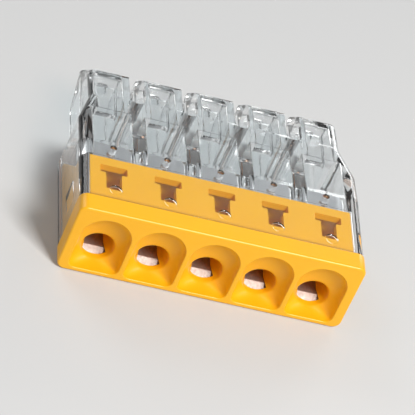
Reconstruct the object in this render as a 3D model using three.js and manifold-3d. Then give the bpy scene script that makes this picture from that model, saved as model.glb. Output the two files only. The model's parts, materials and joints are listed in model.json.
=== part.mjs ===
// Five-way push-wire connector for solid conductors from 0.5 to 2.5 mm2. A coloured entry insert plugs into a
// clear housing, and the two hold a current bar and five leaf springs, one spring to a pole.
// A stripped conductor goes in through a funnel, slides along the current bar, lifts the spring's leaf and is
// gripped between the leaf's edge and the bar. The housing's fingers keep the conductor ends apart.
//
// Millimetres. +X runs across the poles, -Y is the wire entry side and +Z is up. The origin is the middle of
// the footprint at the base. A depth is measured from the entry face, and back() turns it into Y.
import * as THREE from "three";
import { ConvexGeometry } from "three/addons/geometries/ConvexGeometry.js";
import { mergeVertices } from "three/addons/utils/BufferGeometryUtils.js";
import Module from "manifold-3d";

const wasm = await Module();
wasm.setup();

// ---- Driving dimensions ----

const POLES = 5;
const PITCH = 3.8;
const END_WALL = 0.55;
const HEIGHT = 5.8;
const DEPTH = 16.9;
const WIDTH = POLES * PITCH + 2 * END_WALL;

const COLLAR_DEPTH = 1.5; // the insert's visible front frame
const CORNER = 0.6; // corner radius of the frame and the housing, seen from the front
const FIT = 0.06; // free play round a piece that plugs into another
const SHEET_GAP = 0.03; // free play between sheet metal and what it rests on

const FLOOR = 0.4; // the housing's wall under the current bar
const SIDE_WALL = 0.7;
const HOUSING_INSET = 0.05; // how far the housing's sides and roof stand back from the frame
const HOUSING_TOP = HEIGHT - HOUSING_INSET;
const ROOF = 0.6;

const BAR_THICKNESS = 0.42;
const BAR_FRONT = COLLAR_DEPTH + FIT; // just behind the frame, where it shows in the holes
const LEAD_IN = { length: 0.45, drop: 0.34 }; // the slope along the bar's front edge that lifts a conductor
const BAR_BACK = 10.8;
const TONGUE_BACK = 12.2; // each pole's contact tongue reaches into its finger
const TONGUE_HALF_WIDTH = 0.9;
const NOTCH = { halfWidth: 0.55, front: 9.3 }; // between two poles, at the bar's back edge
const RIDGE = { halfWidth: 0.8, front: 11.1, back: 11.4, height: 0.08 }; // presses into a conductor
const BAR_BOTTOM = FLOOR + SHEET_GAP;
const BAR_TOP = BAR_BOTTOM + BAR_THICKNESS;

const WIRE_RADIUS = 0.89; // a 2.5 mm2 solid conductor
const BORE_RADIUS = 1.0;
const BORE_HEIGHT = BAR_TOP + WIRE_RADIUS + 0.1; // height of the bore's axis

const MOUTH_HALF_WIDTH = 1.72;
const MOUTH_BOTTOM = 0.35;
const MOUTH_TOP = 5.05;
const MOUTH_CORNER = 0.5;
const CUP = { depth: 0.55, halfWidth: 1.6, top: 4.6 }; // halfway, where the funnel starts to close faster
const FUNNEL_DEPTH = 1.1;
const SILL_HEIGHT = 0.52; // a little over the foot of the bar's lead-in
const ENTRY_RADIUS = 1.14; // the bore where the funnel meets it
const ENTRY_HEIGHT = SILL_HEIGHT + ENTRY_RADIUS;
const THROAT_DEPTH = 3.6; // where the bore has narrowed to its own radius
const CHANNEL_HALF_WIDTH = 0.64; // the opening in the bore's floor, over the bar

const INSERT_TOP_BACK = 5.8; // depth of the insert's roof
const INSERT_TAIL_BACK = 8.95; // depth of the tail under the spring
const TAIL_HEIGHT = 1.25;
const SLOPE_HEIGHT = 3.95;
const SIGHT = { halfWidth: 1.35, front: 2.6, bottom: 3.35, lid: 0.5 }; // the hollow over each bore
const WINDOW = { front: 2.8, step: 4.3, back: 5.0, frontHalfWidth: 0.55, backHalfWidth: 0.95 };

const ROOF_KNEE = 7.0; // where the flat roof starts to slope
const WAIST = { front: 9.5, back: 12.2, margin: 0.15 }; // the taper of the two ends towards the fingers
const NOSE = {
  floorBack: 15.5,
  below: [16.72, 2.3],
  tip: [DEPTH, 2.75],
  above: [16.8, 3.25],
  top: [14.95, 5.02],
};

const CHAMBER_HALF_WIDTH = 1.45;
const FINGER_HALF_WIDTH = 1.36;
const FINGER_HOLLOW_HALF_WIDTH = 0.96;
const FINGER_FRONT = 12.1; // depth where the slots between the fingers start
const HOLLOW_FRONT = 11.0;
const SHELF = { front: 12.55, bottom: 2.6, top: 3.0 }; // between a finger's two hollows
const LOWER_HOLLOW = { floorBack: 15.1, back: 15.55, bendHeight: 1.6, rise: 0.1 };
const UPPER_HOLLOW = { roofBack: 14.6, back: 15.4, bendHeight: 3.7 };
const PROBE_SLOT = { halfWidth: 0.5, front: 15.4, bottom: 1.75, top: 2.5 };

const SPRING_THICKNESS = 0.22;
const ANCHOR_BOTTOM = 4.2;
const ANCHOR_FRONT = 5.98;
const ANCHOR_BACK = 7.58;
const ANCHOR_HALF_WIDTH = 1.6;
const PEG_DEPTH = 6.8;
const PEG_RADIUS = 0.24;
const PEG_REACH = 0.1; // how far a peg stands out under the anchor's plate
const LEAF_FRONT = 7.67;
const LEAF_FLAT = 0.22; // the leaf's flat start, before the bend
const LEAF_HALF_WIDTH = 1.3;
const LEAF_TIP_HALF_WIDTH = 0.86;
const LEAF_TAPER = { front: 8.7, back: 10.2 };
const LEAF_SLOPE = THREE.MathUtils.degToRad(46);
const LEAF_BEND = 0.6; // radius of the bend at the middle of the sheet
const LEAF_TIP_HEIGHT = BAR_TOP + 0.18;
const LEAF_CUTBACK = 0.1; // the end is cut back so that its lower edge bites

// ---- Places and outlines ----

const back = (depth) => depth - DEPTH / 2;
const poleX = (pole) => (pole - (POLES - 1) / 2) * PITCH;
const poles = [...Array(POLES).keys()];
const gapsBetweenPoles = poles.slice(1).map((pole) => poleX(pole) - PITCH / 2);

// A closed outline from corners, given as [across, up].
function outline(corners) {
  return new THREE.Shape(corners.map(([across, up]) => new THREE.Vector2(across, up)));
}

// A rectangle from [left, bottom] to [right, top] with round corners.
function roundedRectangle(left, bottom, right, top, radius) {
  const shape = new THREE.Shape();
  shape.moveTo(left + radius, bottom);
  shape.absarc(right - radius, bottom + radius, radius, -Math.PI / 2, 0);
  shape.absarc(right - radius, top - radius, radius, 0, Math.PI / 2);
  shape.absarc(left + radius, top - radius, radius, Math.PI / 2, Math.PI);
  shape.absarc(left + radius, bottom + radius, radius, Math.PI, 1.5 * Math.PI);
  return shape;
}

// The points of a section that stands across the depth, from an outline of [x, z].
function section(shape, depth, divisions) {
  return shape.getPoints(divisions).map((p) => new THREE.Vector3(p.x, back(depth), p.y));
}

// A circle of [x, z] points.
function circle(x, z, radius) {
  return new THREE.Shape().absarc(x, z, radius, 0, 2 * Math.PI);
}

// ---- Solids ----

const TO_DEPTH_HEIGHT = new THREE.Matrix4().set(0, 0, 1, 0, 1, 0, 0, 0, 0, 1, 0, 0, 0, 0, 0, 1);

// A closed three.js geometry as a manifold-3d solid.
function solid(geometry) {
  const bare = geometry.index ? geometry.toNonIndexed() : geometry.clone();
  bare.deleteAttribute("normal");
  bare.deleteAttribute("uv");
  const merged = mergeVertices(bare, 1e-4);
  return new wasm.Manifold(
    new wasm.Mesh({
      numProp: 3,
      vertProperties: new Float32Array(merged.attributes.position.array),
      triVerts: new Uint32Array(merged.index.array),
    }),
  );
}

// An outline of [depth, z] drawn out across the poles from x0 to x1.
function acrossPoles(corners, x0, x1) {
  const shape = outline(corners.map(([depth, up]) => [back(depth), up]));
  const geometry = new THREE.ExtrudeGeometry(shape, { depth: x1 - x0, bevelEnabled: false });
  return solid(geometry.applyMatrix4(TO_DEPTH_HEIGHT).translate(x0, 0, 0));
}

// An outline of [x, z] drawn out along the depth.
function alongDepth(shape, depth0, depth1, curveSegments = 8) {
  const options = { depth: depth1 - depth0, bevelEnabled: false, curveSegments };
  return solid(new THREE.ExtrudeGeometry(shape, options).rotateX(Math.PI / 2).translate(0, back(depth1), 0));
}

// An outline of [x, depth] drawn out upwards.
function upwards(corners, z0, z1) {
  const shape = outline(corners.map(([x, depth]) => [x, back(depth)]));
  return solid(new THREE.ExtrudeGeometry(shape, { depth: z1 - z0, bevelEnabled: false }).translate(0, 0, z0));
}

// A block between two corners, with its depths measured from the entry face.
function block([x0, depth0, z0], [x1, depth1, z1]) {
  const geometry = new THREE.BoxGeometry(x1 - x0, depth1 - depth0, z1 - z0);
  return solid(geometry.translate((x0 + x1) / 2, back((depth0 + depth1) / 2), (z0 + z1) / 2));
}

// A block of the same width on both sides of x.
function poleBlock(x, halfWidth, depth0, depth1, z0, z1) {
  return block([x - halfWidth, depth0, z0], [x + halfWidth, depth1, z1]);
}

// A passage through [outline, depth] sections, whose walls bulge outwards all the way.
function passage(sections, divisions = 16) {
  return solid(new ConvexGeometry(sections.flatMap(([shape, depth]) => section(shape, depth, divisions))));
}

const join = (solids) => solids.reduce((all, one) => all.add(one));
const cut = (body, cutters) => cutters.reduce((rest, cutter) => rest.subtract(cutter), body);

// ---- Entry insert ----

const INSERT_HALF_WIDTH = WIDTH / 2 - SIDE_WALL - FIT;
const INSERT_TOP = HOUSING_TOP - ROOF - FIT;
const TAIL_BOTTOM = BAR_TOP + FIT;
const LATCH = { front: 3.0, crest: 4.1, back: 4.6, bottom: 2.2, top: 3.6, height: 0.3, root: 0.2 };

// The insert's side outline behind its frame, as [depth, z] corners, grown on every side by a clearance.
function coreOutline(clearance) {
  return [
    [COLLAR_DEPTH / 2, TAIL_BOTTOM - clearance],
    [INSERT_TAIL_BACK + clearance, TAIL_BOTTOM - clearance],
    [INSERT_TAIL_BACK + clearance, TAIL_HEIGHT + clearance],
    [INSERT_TOP_BACK + clearance, SLOPE_HEIGHT + clearance],
    [INSERT_TOP_BACK + clearance, INSERT_TOP + clearance],
    [COLLAR_DEPTH / 2, INSERT_TOP + clearance],
  ];
}

// A latch nub on one side of the insert, or, grown by a clearance, the recess that it snaps into.
function latch(side, clearance) {
  const reach = [0, LATCH.height].map((out) => side * (INSERT_HALF_WIDTH + out + Math.sign(out) * clearance));
  const plan = [
    [reach[0] - side * LATCH.root, LATCH.front - clearance],
    [reach[0], LATCH.front - clearance],
    [reach[1], LATCH.crest],
    [reach[1], LATCH.back + clearance],
    [reach[0] - side * LATCH.root, LATCH.back + clearance],
  ];
  return upwards(plan, LATCH.bottom - clearance, LATCH.top + clearance);
}

// The outline of a funnel near its mouth: an arch with a flat sill.
function archOutline(x, half, top) {
  const corner = MOUTH_CORNER;
  const mouth = new THREE.Shape();
  mouth.moveTo(x - half + corner, MOUTH_BOTTOM);
  mouth.absarc(x + half - corner, MOUTH_BOTTOM + corner, corner, -Math.PI / 2, 0);
  mouth.absarc(x, top - half, half, 0, Math.PI);
  mouth.absarc(x - half + corner, MOUTH_BOTTOM + corner, corner, Math.PI, 1.5 * Math.PI);
  return mouth;
}

// Everything that a wire passes through in the insert, for one pole: the funnel, the bore, and the channel
// that opens the bore's floor over the current bar.
function wirePassage(x) {
  const mouth = archOutline(x, MOUTH_HALF_WIDTH, MOUTH_TOP);
  const cup = archOutline(x, CUP.halfWidth, CUP.top);
  const entry = circle(x, ENTRY_HEIGHT, ENTRY_RADIUS);
  const bore = circle(x, BORE_HEIGHT, BORE_RADIUS);
  const past = INSERT_TAIL_BACK + 1;
  const overlap = 0.01;
  return [
    passage([[mouth, -overlap], [cup, CUP.depth], [entry, FUNNEL_DEPTH]]),
    passage([[entry, FUNNEL_DEPTH - overlap], [bore, THROAT_DEPTH]]),
    passage([[bore, THROAT_DEPTH - overlap], [bore, past]]),
    poleBlock(x, CHANNEL_HALF_WIDTH, COLLAR_DEPTH, past, FLOOR, BORE_HEIGHT),
  ];
}

// The hollow over a bore, open to the back, and the window over it in the insert's roof.
function sightHollow(x) {
  return [
    poleBlock(x, SIGHT.halfWidth, SIGHT.front, INSERT_TAIL_BACK, SIGHT.bottom, INSERT_TOP - SIGHT.lid),
    poleBlock(x, WINDOW.frontHalfWidth, WINDOW.front, WINDOW.back, SIGHT.bottom, HEIGHT),
    poleBlock(x, WINDOW.backHalfWidth, WINDOW.step, WINDOW.back, SIGHT.bottom, HEIGHT),
  ];
}

function entryInsert() {
  const half = WIDTH / 2;
  const frame = alongDepth(roundedRectangle(-half, 0, half, HEIGHT, CORNER), 0, COLLAR_DEPTH);
  const core = acrossPoles(coreOutline(0), -INSERT_HALF_WIDTH, INSERT_HALF_WIDTH);
  const body = join([frame, core, latch(-1, 0), latch(1, 0)]);
  return cut(body, poles.map(poleX).flatMap((x) => [...wirePassage(x), ...sightHollow(x)]));
}

// ---- Clear housing ----

// The height of the roof's outside at a depth.
function roofHeight(depth) {
  const [topDepth, topHeight] = NOSE.top;
  const share = Math.max(0, (depth - ROOF_KNEE) / (topDepth - ROOF_KNEE));
  return HOUSING_TOP + share * (topHeight - HOUSING_TOP);
}

// The outside of the housing: its side outline, its front outline and its plan, in common.
function housingBlank() {
  const half = WIDTH / 2 - HOUSING_INSET;
  const front = COLLAR_DEPTH + SHEET_GAP;
  const fingersHalf = poleX(POLES - 1) + FINGER_HALF_WIDTH + WAIST.margin;
  const side = [
    [front, 0],
    [NOSE.floorBack, 0],
    NOSE.below,
    NOSE.tip,
    NOSE.above,
    NOSE.top,
    [ROOF_KNEE, HOUSING_TOP],
    [front, HOUSING_TOP],
  ];
  const plan = [
    [-half, 0],
    [half, 0],
    [half, WAIST.front],
    [fingersHalf, WAIST.back],
    [fingersHalf, DEPTH + 1],
    [-fingersHalf, DEPTH + 1],
    [-fingersHalf, WAIST.back],
    [-half, WAIST.front],
  ];
  return acrossPoles(side, -half, half)
    .intersect(alongDepth(roundedRectangle(-half, 0, half, HOUSING_TOP, CORNER), 0, DEPTH + 1))
    .intersect(upwards(plan, -1, HEIGHT + 1));
}

// The slot between two fingers, with a round root.
function fingerSlot(x) {
  const half = PITCH / 2 - FINGER_HALF_WIDTH;
  const root = new THREE.CylinderGeometry(half, half, HEIGHT + 2, 16).rotateX(Math.PI / 2);
  return join([
    solid(root.translate(x, back(FINGER_FRONT + half), HEIGHT / 2)),
    poleBlock(x, half, FINGER_FRONT + half, DEPTH + 1, -1, HEIGHT + 1),
  ]);
}

// The free space for one pole's spring, and the two hollows of its finger.
function poleChamber(x) {
  const roof = (depth) => roofHeight(depth) - ROOF;
  const spring = [
    [INSERT_TOP_BACK, SLOPE_HEIGHT],
    [INSERT_TAIL_BACK, TAIL_HEIGHT],
    [INSERT_TAIL_BACK, BAR_TOP],
    [HOLLOW_FRONT, BAR_TOP],
    [HOLLOW_FRONT, roof(HOLLOW_FRONT)],
    [ROOF_KNEE, roof(ROOF_KNEE)],
    [INSERT_TOP_BACK, roof(ROOF_KNEE)],
  ];
  const start = HOLLOW_FRONT - FIT; // overlaps the spring's space
  const floor = FLOOR + LOWER_HOLLOW.rise;
  const finger = [
    [start, BAR_TOP],
    [TONGUE_BACK + FIT, BAR_TOP],
    [TONGUE_BACK + FIT, floor],
    [LOWER_HOLLOW.floorBack, floor],
    [LOWER_HOLLOW.back, LOWER_HOLLOW.bendHeight],
    [LOWER_HOLLOW.back, SHELF.bottom],
    [SHELF.front, SHELF.bottom],
    [SHELF.front, SHELF.top],
    [UPPER_HOLLOW.back, SHELF.top],
    [UPPER_HOLLOW.back, UPPER_HOLLOW.bendHeight],
    [UPPER_HOLLOW.roofBack, roof(UPPER_HOLLOW.roofBack)],
    [start, roof(HOLLOW_FRONT)],
  ];
  const hollow = FINGER_HOLLOW_HALF_WIDTH;
  const { halfWidth, front, bottom, top } = PROBE_SLOT;
  return [
    acrossPoles(spring, x - CHAMBER_HALF_WIDTH, x + CHAMBER_HALF_WIDTH),
    acrossPoles(finger, x - hollow, x + hollow),
    poleBlock(x, halfWidth, front, DEPTH + 1, bottom, top),
  ];
}

// The groove that holds the spring's anchor plate by its two long edges.
function anchorGroove(x) {
  const half = ANCHOR_HALF_WIDTH + SHEET_GAP;
  const top = ANCHOR_BOTTOM + SPRING_THICKNESS + SHEET_GAP;
  return poleBlock(x, half, INSERT_TOP_BACK, ANCHOR_BACK + SHEET_GAP, ANCHOR_BOTTOM - SHEET_GAP, top);
}

// The peg on the roof that goes through the anchor plate's hole.
function anchorPeg(x) {
  const bottom = ANCHOR_BOTTOM - PEG_REACH;
  const top = HOUSING_TOP - ROOF / 2;
  const peg = new THREE.CylinderGeometry(PEG_RADIUS, PEG_RADIUS, top - bottom, 16).rotateX(Math.PI / 2);
  return solid(peg.translate(x, back(PEG_DEPTH), (top + bottom) / 2));
}

function clearHousing() {
  const barHalf = INSERT_HALF_WIDTH + FIT;
  const pocket = acrossPoles(coreOutline(FIT), -barHalf, barHalf);
  const mouth = block([-barHalf, 0, FLOOR], [barHalf, COLLAR_DEPTH + 1, HOUSING_TOP - ROOF]);
  const barPocket = block([-barHalf, BAR_FRONT, FLOOR], [barHalf, BAR_BACK + FIT, BAR_TOP + SHEET_GAP]);
  const tonguePocket = (x) => {
    const half = TONGUE_HALF_WIDTH + SHEET_GAP;
    return poleBlock(x, half, BAR_BACK, TONGUE_BACK + FIT, FLOOR, BAR_TOP + SHEET_GAP);
  };
  const perPole = poles.map(poleX).flatMap((x) => [...poleChamber(x), anchorGroove(x), tonguePocket(x)]);
  const cutters = [pocket, mouth, barPocket, latch(-1, FIT), latch(1, FIT)];
  const shell = cut(housingBlank(), [...cutters, ...perPole, ...gapsBetweenPoles.map(fingerSlot)]);
  return join([shell, ...poles.map(poleX).map(anchorPeg)]);
}

// ---- Current bar ----

function currentBar() {
  const side = [
    [BAR_FRONT, BAR_BOTTOM],
    [BAR_BACK, BAR_BOTTOM],
    [BAR_BACK, BAR_TOP],
    [BAR_FRONT + LEAD_IN.length, BAR_TOP],
    [BAR_FRONT, BAR_TOP - LEAD_IN.drop],
  ];
  const strip = acrossPoles(side, -INSERT_HALF_WIDTH, INSERT_HALF_WIDTH);
  const tongues = poles.map(poleX).flatMap((x) => [
    poleBlock(x, TONGUE_HALF_WIDTH, BAR_BACK - BAR_THICKNESS, TONGUE_BACK, BAR_BOTTOM, BAR_TOP),
    poleBlock(x, RIDGE.halfWidth, RIDGE.front, RIDGE.back, BAR_BOTTOM, BAR_TOP + RIDGE.height),
  ]);
  const notches = gapsBetweenPoles.map((x) => poleBlock(x, NOTCH.halfWidth, NOTCH.front, DEPTH, 0, HEIGHT));
  return cut(join([strip, ...tongues]), notches);
}

// ---- Springs ----

// The plate that holds a spring in the housing.
function springAnchor(x) {
  const top = ANCHOR_BOTTOM + SPRING_THICKNESS;
  const plate = poleBlock(x, ANCHOR_HALF_WIDTH, ANCHOR_FRONT, ANCHOR_BACK, ANCHOR_BOTTOM, top);
  const radius = PEG_RADIUS + 2 * SHEET_GAP;
  const hole = new THREE.CylinderGeometry(radius, radius, 1, 16).rotateX(Math.PI / 2);
  return plate.subtract(solid(hole.translate(x, back(PEG_DEPTH), top)));
}

// The leaf's sheet seen from the side: a short flat, a bend, and a straight run down to the gripping edge.
function leafOutline() {
  const middle = ANCHOR_BOTTOM + SPRING_THICKNESS / 2;
  const centre = { depth: LEAF_FRONT + LEAF_FLAT, z: middle - LEAF_BEND };
  const onBend = (radius, turn) => [
    centre.depth + radius * Math.sin(turn),
    centre.z + radius * Math.cos(turn),
  ];
  const turns = [0, 0.25, 0.5, 0.75, 1].map((share) => share * LEAF_SLOPE);
  const outer = LEAF_BEND + SPRING_THICKNESS / 2;
  const inner = LEAF_BEND - SPRING_THICKNESS / 2;
  const [innerDepth, innerZ] = onBend(inner, LEAF_SLOPE);
  const [outerDepth, outerZ] = onBend(outer, LEAF_SLOPE);
  const run = (innerZ - LEAF_TIP_HEIGHT) / Math.sin(LEAF_SLOPE);
  const tip = [innerDepth + run * Math.cos(LEAF_SLOPE), LEAF_TIP_HEIGHT];
  const outerRun = run - LEAF_CUTBACK;
  const tipBack = [outerDepth + outerRun * Math.cos(LEAF_SLOPE), outerZ - outerRun * Math.sin(LEAF_SLOPE)];
  const start = [LEAF_FRONT, middle - SPRING_THICKNESS / 2];
  const startTop = [LEAF_FRONT, middle + SPRING_THICKNESS / 2];
  const under = turns.map((turn) => onBend(inner, turn));
  const over = turns.map((turn) => onBend(outer, turn)).reverse();
  return [start, ...under, tip, tipBack, ...over, startTop];
}

// The leaf that flexes, narrowed towards its gripping edge so that it can swing into the finger.
function springLeaf(x) {
  const wide = LEAF_HALF_WIDTH;
  const narrow = LEAF_TIP_HALF_WIDTH;
  const plan = [
    [x - wide, LEAF_FRONT - 1],
    [x + wide, LEAF_FRONT - 1],
    [x + wide, LEAF_TAPER.front],
    [x + narrow, LEAF_TAPER.back],
    [x + narrow, DEPTH],
    [x - narrow, DEPTH],
    [x - narrow, LEAF_TAPER.back],
    [x - wide, LEAF_TAPER.front],
  ];
  return acrossPoles(leafOutline(), x - wide, x + wide).intersect(upwards(plan, 0, HEIGHT));
}

// ---- The part ----

const CLEAR = new THREE.MeshStandardMaterial({
  color: 0xe9eef0, roughness: 0.08, metalness: 0, transparent: true, opacity: 0.3,
});
const YELLOW = new THREE.MeshStandardMaterial({ color: 0xf6b40e, roughness: 0.38, metalness: 0 });
const TINNED = new THREE.MeshStandardMaterial({ color: 0xc9c6bf, roughness: 0.34, metalness: 1 });
const SPRING_STEEL = new THREE.MeshStandardMaterial({ color: 0xb4b8bc, roughness: 0.28, metalness: 1 });

// A solid as a named mesh.
function named(name, material, body) {
  const { numProp, vertProperties, triVerts } = body.getMesh();
  const positions = new Float32Array((vertProperties.length / numProp) * 3);
  for (let i = 0; i < positions.length / 3; i++) {
    positions.set(vertProperties.subarray(i * numProp, i * numProp + 3), i * 3);
  }
  const geometry = new THREE.BufferGeometry();
  geometry.setAttribute("position", new THREE.BufferAttribute(positions, 3));
  geometry.setIndex(new THREE.BufferAttribute(new Uint32Array(triVerts), 1));
  geometry.computeVertexNormals();
  const mesh = new THREE.Mesh(geometry, material);
  mesh.name = name;
  return mesh;
}

const connector = new THREE.Group();
connector.add(named("clear_housing", CLEAR, clearHousing()));
connector.add(named("entry_insert", YELLOW, entryInsert()));
connector.add(named("current_bar", TINNED, currentBar()));
for (const pole of poles) {
  connector.add(named(`spring_anchor_${pole + 1}`, SPRING_STEEL, springAnchor(poleX(pole))));
  connector.add(named(`spring_leaf_${pole + 1}`, SPRING_STEEL, springLeaf(poleX(pole))));
}

export default connector;
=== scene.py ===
"""Visible model of a five-pole push-wire connector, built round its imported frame.

Pieces are shaped in millimetres, in the frame's own axes: X runs across the poles, Y into the connector and
Z up. A depth is measured from the entry face. Each finished mesh is turned into metres at the very end.
"""

import sys
import json
import logging
import math
from collections.abc import Callable, Iterable, Sequence
from dataclasses import dataclass, field
from enum import Enum

import bmesh
import bpy
from mathutils import Matrix, Vector

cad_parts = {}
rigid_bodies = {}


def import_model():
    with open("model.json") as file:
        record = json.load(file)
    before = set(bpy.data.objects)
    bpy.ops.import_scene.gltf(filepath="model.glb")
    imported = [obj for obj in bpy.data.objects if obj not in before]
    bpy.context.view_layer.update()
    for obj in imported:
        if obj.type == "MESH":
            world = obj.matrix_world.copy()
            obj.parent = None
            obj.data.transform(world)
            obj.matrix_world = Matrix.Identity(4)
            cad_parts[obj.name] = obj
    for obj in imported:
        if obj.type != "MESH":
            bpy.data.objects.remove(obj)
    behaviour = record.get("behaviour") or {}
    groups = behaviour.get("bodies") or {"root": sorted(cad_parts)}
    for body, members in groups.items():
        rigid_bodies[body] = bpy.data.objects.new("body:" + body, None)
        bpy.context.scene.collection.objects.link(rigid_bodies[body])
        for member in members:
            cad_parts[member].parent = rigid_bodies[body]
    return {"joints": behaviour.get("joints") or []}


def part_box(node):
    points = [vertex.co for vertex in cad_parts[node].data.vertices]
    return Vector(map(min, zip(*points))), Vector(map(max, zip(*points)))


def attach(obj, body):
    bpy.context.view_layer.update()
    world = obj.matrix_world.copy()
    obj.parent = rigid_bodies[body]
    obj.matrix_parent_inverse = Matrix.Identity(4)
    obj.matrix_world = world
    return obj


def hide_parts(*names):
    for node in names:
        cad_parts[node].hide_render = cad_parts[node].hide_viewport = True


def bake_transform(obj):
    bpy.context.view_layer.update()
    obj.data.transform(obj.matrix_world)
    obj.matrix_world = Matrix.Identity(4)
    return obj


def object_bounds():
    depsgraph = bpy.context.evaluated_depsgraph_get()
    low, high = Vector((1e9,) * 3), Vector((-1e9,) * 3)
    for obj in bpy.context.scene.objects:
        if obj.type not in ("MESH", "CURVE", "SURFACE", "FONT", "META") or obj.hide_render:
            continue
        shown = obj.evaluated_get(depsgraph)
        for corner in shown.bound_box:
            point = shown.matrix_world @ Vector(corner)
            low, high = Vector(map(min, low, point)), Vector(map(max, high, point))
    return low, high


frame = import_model()
CAD_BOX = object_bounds()

MM = 0.001
ROOT_BODY = "connector"
# How far the current bar's ridges rise over its top.
RIDGE_HEIGHT = 0.08
# Heights that are clear of the connector, where an outline may end.
BELOW, ABOVE = -1.0, 9.0
# The angle within which two sides count as straight, and the most of a side that one round corner may take.
STRAIGHT, SIDE_SHARE = 0.01, 0.49
# What keeps a mouth's two upper arcs from meeting in one point.
ARC_GAP = 0.001

log = logging.getLogger("push_wire_connector")

Point = tuple[float, float]
Corner = tuple[float, ...]


# ---- Layout shared by the pieces ----


@dataclass(frozen=True)
class Layout:
    """Places that several pieces share, in millimetres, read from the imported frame.

    Args:
        pole_x: X of each pole's middle plane, from left to right.
        half_width: half of the connector's width.
        front: Y of the entry face.
        depth: length from the entry face to the fingers' ends.
        height: height of the entry frame.
        bar_top: height of the surface that a conductor slides along.
        anchor_bottom: height of the springs' seats.
        end_wall: thickness of the housing's end walls.
        fit: gap between two pieces that fit together.
        sheet: thickness of the springs' steel.
    """

    pole_x: tuple[float, ...]
    half_width: float
    front: float
    depth: float
    height: float
    bar_top: float
    anchor_bottom: float
    end_wall: float = 0.7
    fit: float = 0.06
    sheet: float = 0.22

    @classmethod
    def from_frame(cls) -> "Layout":
        """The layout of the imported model.

        Returns:
            The layout, with its lengths in millimetres.
        """
        low, high = (corner / MM for corner in CAD_BOX)
        _, bar_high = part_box("current_bar")
        anchor_low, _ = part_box("spring_anchor_1")
        return cls(
            pole_x=tuple(sorted(joint["pos_m"][0] / MM for joint in frame["joints"])),
            half_width=(high.x - low.x) / 2,
            front=low.y,
            depth=high.y - low.y,
            height=high.z,
            bar_top=bar_high.z / MM - RIDGE_HEIGHT,
            anchor_bottom=anchor_low.z / MM,
        )

    @property
    def pitch(self) -> float:
        """Distance from one pole to the next."""
        return self.pole_x[1] - self.pole_x[0]

    @property
    def between(self) -> tuple[float, ...]:
        """X of each middle plane between two poles."""
        return tuple(x + self.pitch / 2 for x in self.pole_x[:-1])

    @property
    def inner_half_width(self) -> float:
        """Half of the width inside the housing's end walls."""
        return self.half_width - self.end_wall

    def back(self, depth: float) -> float:
        """Y of a depth behind the entry face."""
        return self.front + depth


# ---- Shaping ----


class Sweep(Enum):
    """The direction that a flat outline is drawn out in, and what its two numbers mean."""

    ACROSS = "outline of (depth, z), drawn out along X"
    INWARD = "outline of (x, z), drawn out along the depth"
    UP = "outline of (x, depth), drawn out along Z"

    def place(self, layout: Layout, u: float, v: float, w: float) -> Vector:
        """The point of an outline at (u, v), at w along the sweep.

        Args:
            layout: the connector's layout.
            u: the outline's first number.
            v: the outline's second number.
            w: the place along the sweep.

        Returns:
            The point in the frame's axes.
        """
        if self is Sweep.ACROSS:
            return Vector((w, layout.back(u), v))
        if self is Sweep.INWARD:
            return Vector((u, layout.back(w), v))
        return Vector((u, layout.back(v), w))


def rounded(corners: Sequence[Corner], radius: float, steps: int = 5) -> list[Point]:
    """A closed outline whose corners are arcs.

    Args:
        corners: the corners in order. A third number is that corner's own radius.
        radius: the radius of every other corner.
        steps: the number of straight steps in an arc.

    Returns:
        The outline's points.
    """
    points: list[Point] = []
    count = len(corners)
    for index, corner in enumerate(corners):
        here = Vector(corner[:2])
        own = corner[2] if len(corner) > 2 else radius
        to_last = Vector(corners[index - 1][:2]) - here
        to_next = Vector(corners[(index + 1) % count][:2]) - here
        turn = to_last.angle(to_next)
        if own <= 0 or turn > math.pi - STRAIGHT:
            points.append((here.x, here.y))
            continue
        reach = min(own / math.tan(turn / 2), SIDE_SHARE * to_last.length, SIDE_SHARE * to_next.length)
        own = reach * math.tan(turn / 2)
        start = here + to_last.normalized() * reach
        end = here + to_next.normalized() * reach
        inward = (to_last.normalized() + to_next.normalized()).normalized()
        centre = here + inward * (own / math.sin(turn / 2))
        sweep = (start - centre).angle_signed(end - centre)
        for step in range(steps + 1):
            arm = (start - centre).copy()
            arm.rotate(Matrix.Rotation(-sweep * step / steps, 2))
            points.append((centre.x + arm.x, centre.y + arm.y))
    return points


def both_sides(right: Sequence[Corner], x: float = 0.0) -> list[Corner]:
    """The corners of an outline from those of its right half, which is mirrored in the line at x."""
    left = [(-corner[0], *corner[1:]) for corner in reversed(right)]
    return [(x + corner[0], *corner[1:]) for corner in (*right, *left)]


def circle(x: float, y: float, radius: float, count: int = 32) -> list[Point]:
    """A circle of points that starts at its lowest point and goes round to the right."""
    turns = [2 * math.pi * step / count for step in range(count)]
    return [(x + radius * math.sin(turn), y - radius * math.cos(turn)) for turn in turns]


def evenly(outline: Sequence[Point], count: int) -> list[Point]:
    """The same closed outline with points at even distances, starting from its first point.

    Args:
        outline: the points of the outline.
        count: the number of points to give back.

    Returns:
        The new points.
    """
    closed = [Vector(point) for point in outline] + [Vector(outline[0])]
    lengths = [(b - a).length for a, b in zip(closed, closed[1:])]
    spacing = sum(lengths) / count
    points: list[Point] = []
    side = 0
    passed = 0.0
    for step in range(count):
        while passed + lengths[side] < step * spacing:
            passed += lengths[side]
            side += 1
        share = (step * spacing - passed) / lengths[side]
        point = closed[side].lerp(closed[side + 1], share)
        points.append((point.x, point.y))
    return points


def quarter(radius: float, steps: int) -> list[Point]:
    """A quarter round as (place, inset) pairs, from (0, radius) to (radius, 0)."""
    turns = [math.pi / 2 * step / steps for step in range(steps + 1)]
    return [(radius * (1 - math.cos(turn)), radius * (1 - math.sin(turn))) for turn in turns]


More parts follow.
